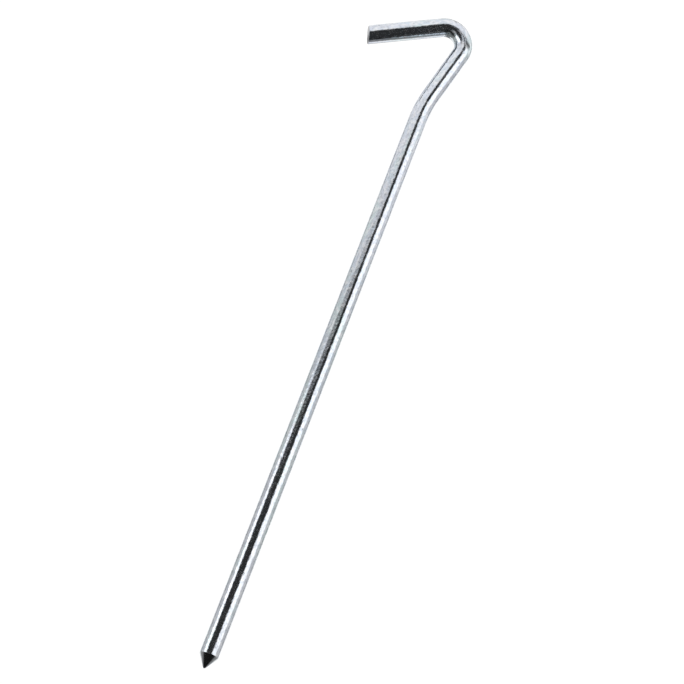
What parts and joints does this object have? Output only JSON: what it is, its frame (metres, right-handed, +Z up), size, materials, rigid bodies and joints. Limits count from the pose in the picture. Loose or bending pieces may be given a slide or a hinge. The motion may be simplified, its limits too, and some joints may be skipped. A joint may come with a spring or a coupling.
{
  "type": "tent stake",
  "caption": "Bent round-wire steel tent stake with a long straight shank, a short turned point, a set-back neck and a tight hook with a straight downward arm.",
  "frame": {"origin": "on the shank's axis, at the top of its straight length, where the soil line is when the stake is driven fully home", "axes": "+Z up along the shank, away from the point; the hook lies in the XZ plane and opens towards -X; Y is the normal of that plane, and the stake is the same on both sides of it"},
  "size_m": [0.0341, 0.006, 0.2286],
  "materials": {
    "zinc_plated_wire": "bright zinc plate over cold-drawn steel wire, glossy with a fine mottle and a faint blue passivation tint"
  },
  "bodies": {
    "root": {"stake": "zinc_plated_wire"}
  },
  "joints": []
}
